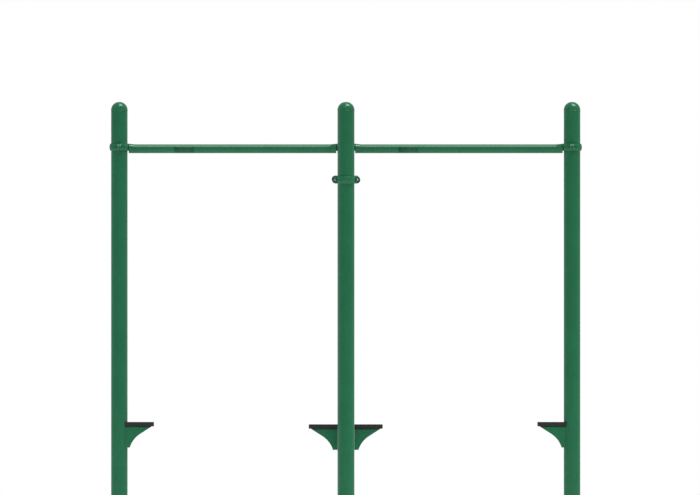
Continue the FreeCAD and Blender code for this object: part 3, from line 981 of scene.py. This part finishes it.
@dataclass
class Studio:
    """White studio with a pale floor, a soft light overhead, and the camera."""

    scale: float = 5.3863 * MM
    picture_width: int = 700
    aim: tuple[float, float, float] = (0.0232, 0.6096, 1.6021)
    lens: float = 1200.0
    sensor: float = 36.0
    clip_start: float = 1.0
    elevation: float = math.radians(0.36)
    azimuth: float = math.radians(-0.12)
    floor_half: float = 9.0
    floor_drop: float = 0.5 * MM
    floor_tone: Colour = (0.74, 0.74, 0.735)
    floor_bounce: Colour = (0.95, 0.95, 0.945)
    floor_mirrored: Colour = (0.42, 0.42, 0.418)
    floor_fades_from: float = 1.6
    floor_white_from: float = 4.5
    light_from: tuple[float, float, float] = (0.34, -0.1, 0.935)
    light_spread: float = math.radians(26)
    light_power: float = 1.95
    fill: Band = Band(Axis.UP, 0.1, 0.85, 0.34, 0.9)
    wall_least: float = 0.13
    wall_left_to_right: Band = Band(Axis.ACROSS, -0.5, 0.5, 0.28, 0.24)
    wall_front: Band = Band(Axis.AWAY, -0.45, 0.5)
    wall_back: Band = Band(Axis.AWAY, 0.5, 0.9, 1.0, 0.1)
    backdrop: Band = Band(Axis.AWAY, 0.87, 0.99)
    strip: tuple[Band, ...] = (
        Band(Axis.ACROSS, -0.14, -0.04, 0.0, 3.55),
        Band(Axis.ACROSS, 0.04, 0.14, 1.0, 0.0),
        Band(Axis.AWAY, -0.64, -0.54),
        Band(Axis.AWAY, -0.25, 0.35, 1.0, 0.15),
        Band(Axis.UP, 0.3, 0.6),
    )
    window: tuple[Band, ...] = (
        Band(Axis.ACROSS, 0.0, 0.15, 0.0, 8.0),
        Band(Axis.ACROSS, 0.42, 0.62, 1.0, 0.0),
        Band(Axis.AWAY, -0.42, -0.3),
        Band(Axis.AWAY, 0.0, 0.15, 1.0, 0.0),
        Band(Axis.UP, 0.3, 0.6),
    )

    def build(self) -> None:
        """Sets up the floor, the light and the camera."""
        self.lay_floor()
        self.light_world()
        self.hang_light()
        self.set_camera()
        bpy.context.scene.view_settings.view_transform = "Standard"

    def lay_floor(self) -> None:
        """Lays the floor, which keeps its shadows near the station and is white further out."""
        shape = Shape()
        bmesh.ops.create_grid(shape.mesh, x_segments=1, y_segments=1, size=self.floor_half)
        shape.set_at(Matrix.Translation((0, 0, -self.floor_drop)))
        floor = shape.to_object("studio_floor")
        material, graph = new_material("pale_floor")
        away = graph.node("VectorMath", {0: graph.place()}, operation="LENGTH").outputs["Value"]
        path = graph.node("LightPath").outputs
        far = graph.spread(away, 0.0, 1.0, self.floor_fades_from, self.floor_white_from)
        white = graph.math("MULTIPLY", far, path["Is Camera Ray"])
        lit = graph.blend(path["Is Camera Ray"], self.floor_bounce, self.floor_tone)
        tone = graph.blend(path["Is Glossy Ray"], lit, self.floor_mirrored)
        matt = graph.node("BsdfDiffuse", {"Color": tone})
        glow = graph.node("Emission", {"Color": WHITE, "Strength": 1.0})
        mixed = graph.choice(white, matt, glow)
        graph.node("OutputMaterial", {"Surface": mixed.outputs[0]})
        floor.data.materials.append(material)

    def light_world(self) -> None:
        """Makes the surroundings white to the camera, a room in reflections and a soft fill elsewhere."""
        world = bpy.data.worlds.new("studio")
        bpy.context.scene.world = world
        world.use_nodes = True
        graph = Graph(world.node_tree)
        path = graph.node("LightPath").outputs
        way = graph.node("SeparateXYZ", {"Vector": graph.node("TexCoord").outputs["Generated"]}).outputs
        room = self.mirrored_room(graph, way)
        glossy = graph.math("MAXIMUM", path["Is Glossy Ray"], path["Is Transmission Ray"])
        fill = graph.node("Background", {"Color": WHITE, "Strength": self.fill.level(graph, way)})
        seen = graph.node("Background", {"Color": WHITE, "Strength": 1.0})
        mirrored = graph.node("Background", {"Color": WHITE, "Strength": room})
        lit = graph.choice(glossy, fill, mirrored)
        whole = graph.choice(path["Is Camera Ray"], lit, seen)
        graph.node("OutputWorld", {"Surface": whole.outputs[0]})

    def mirrored_room(self, graph: Graph, way: bpy.types.NodeOutputs) -> bpy.types.NodeSocket:
        """The room that gloss mirrors: dim walls, a white backdrop, and a strip and a window of light above.

        Args:
            graph: graph of the world.
            way: parts of the direction along the three axes.

        Returns:
            The level of light in each direction.
        """
        sides = self.wall_left_to_right.level(graph, way)
        beside = graph.math("MULTIPLY", self.wall_front.level(graph, way), self.wall_back.level(graph, way))
        wall = graph.math("ADD", graph.math("MULTIPLY", sides, beside), self.wall_least)
        backdrop = self.backdrop.level(graph, way)
        strip = self.overlap(graph, way, self.strip)
        window = self.overlap(graph, way, self.window)
        lamps = graph.math("MAXIMUM", strip, window)
        return graph.math("ADD", graph.math("MAXIMUM", wall, backdrop), lamps)

    def overlap(
        self, graph: Graph, way: bpy.types.NodeOutputs, bands: tuple[Band, ...]
    ) -> bpy.types.NodeSocket:
        """A patch of light in the mirrored room, lit where all its bands overlap.

        Args:
            graph: graph of the world.
            way: parts of the direction along the three axes.
            bands: bands whose levels are multiplied.

        Returns:
            The level of light in each direction.
        """
        level = bands[0].level(graph, way)
        for band in bands[1:]:
            level = graph.math("MULTIPLY", level, band.level(graph, way))
        return level

    def hang_light(self) -> None:
        """Hangs the wide soft light above, a little to the right and in front."""
        lamp = bpy.data.lights.new("soft_light", "SUN")
        lamp.angle = self.light_spread
        lamp.energy = self.light_power
        hung = bpy.data.objects.new("soft_light", lamp)
        hung.rotation_mode = "QUATERNION"
        hung.rotation_quaternion = Vector(self.light_from).to_track_quat("Z", "Y")
        hung.visible_glossy = False
        bpy.context.scene.collection.objects.link(hung)

    def set_camera(self) -> None:
        """Sets the camera far off, level with the photograph's view."""
        data = bpy.data.cameras.new("camera")
        data.lens = self.lens
        data.sensor_width = self.sensor
        distance = self.scale * self.picture_width * self.lens / self.sensor
        data.clip_start = self.clip_start
        data.clip_end = 2 * distance
        back = Vector((
            math.sin(self.azimuth) * math.cos(self.elevation),
            -math.cos(self.azimuth) * math.cos(self.elevation),
            math.sin(self.elevation),
        ))
        camera = bpy.data.objects.new("camera", data)
        camera.location = Vector(self.aim) + back * distance
        camera.rotation_mode = "QUATERNION"
        camera.rotation_quaternion = (-back).to_track_quat("-Z", "Y")
        bpy.context.scene.collection.objects.link(camera)
        bpy.context.scene.camera = camera


POSTS = ("left", "right", "hub", "front")
PAINTED = (
    "left_clamp_bar_half", "left_clamp_outer_half", "right_clamp_bar_half", "right_clamp_outer_half",
    "hub_clamp_left_half", "hub_clamp_right_half", "front_clamp_bar_half", "front_clamp_outer_half",
    "hub_low_clamp_bar_half", "hub_low_clamp_outer_half", "hub_step_sleeve",
    *("base_plate_" + name for name in POSTS), *("post_cap_" + name for name in POSTS),
)
PLATED = (
    "cap_rivets", "clamp_bolts", "clamp_nuts", "bar_set_screws", "sleeve_bolts", "tread_bolts", "tread_nuts",
)


def main() -> None:
    """Builds the station and its studio."""
    logging.basicConfig(level=logging.INFO, format="%(message)s")
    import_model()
    parts = [
        *(Post(name) for name in POSTS),
        PullUpBar("left", Facing.RIGHT, film_middle=350 * MM),
        PullUpBar("right", Facing.RIGHT),
        PullUpBar("front", Facing.BACK),
        FootStep("left", "left", "post_left", Facing.RIGHT),
        FootStep("right", "right", "post_right", Facing.LEFT),
        FootStep("front", "front", "post_front", Facing.BACK),
        FootStep("hub_left", "hub", "hub_step_sleeve", Facing.LEFT),
        FootStep("hub_right", "hub", "hub_step_sleeve", Facing.RIGHT),
        FootStep("hub_front", "hub", "hub_step_sleeve", Facing.FRONT),
        Hardware(PAINTED, GREEN),
        Hardware(PLATED, ZINC),
        Studio(),
    ]
    for part in parts:
        part.build()


if __name__ == "__main__":
    main()
